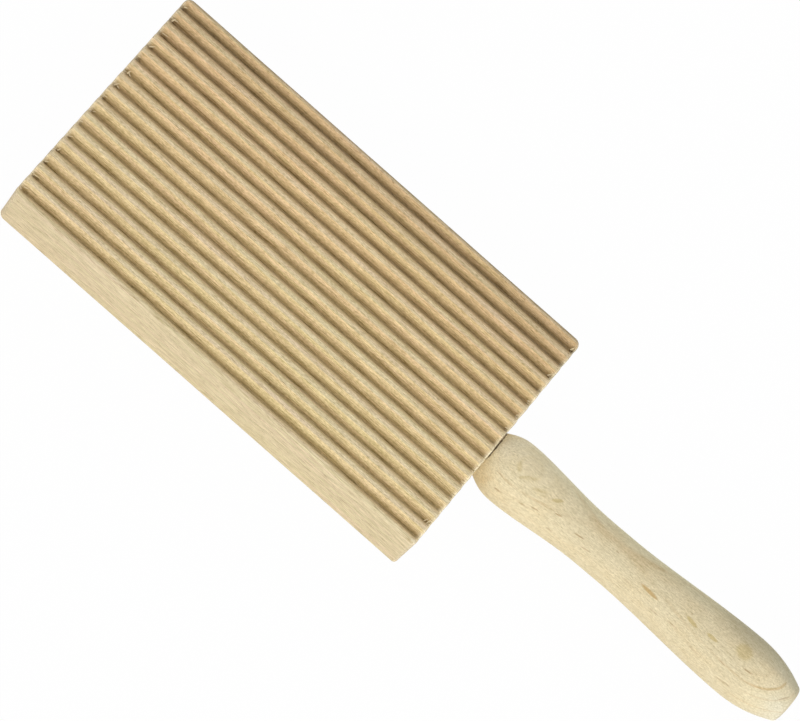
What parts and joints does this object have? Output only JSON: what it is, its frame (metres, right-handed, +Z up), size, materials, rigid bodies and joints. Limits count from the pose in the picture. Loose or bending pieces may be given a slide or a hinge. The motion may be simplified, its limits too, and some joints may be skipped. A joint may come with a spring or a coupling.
{
  "type": "gnocchi board",
  "caption": "Thick wooden board with parallel ridges along its top and a slim turned handle on its end, for rolling ridges into gnocchi and other small pasta.",
  "frame": {"origin": "middle of the board's underside", "axes": "+X along the ridges from the board to the handle, +Y across the ridges, +Z up out of the ridged face"},
  "size_m": [0.2581, 0.08, 0.02],
  "materials": {
    "board_beech": "sanded, unfinished",
    "handle_beech": "turned and sanded, unfinished",
    "dowel_beech": "fluted, unfinished"
  },
  "bodies": {
    "root": {"ridged_board": "board_beech", "handle": "handle_beech", "dowel": "dowel_beech"}
  },
  "joints": []
}
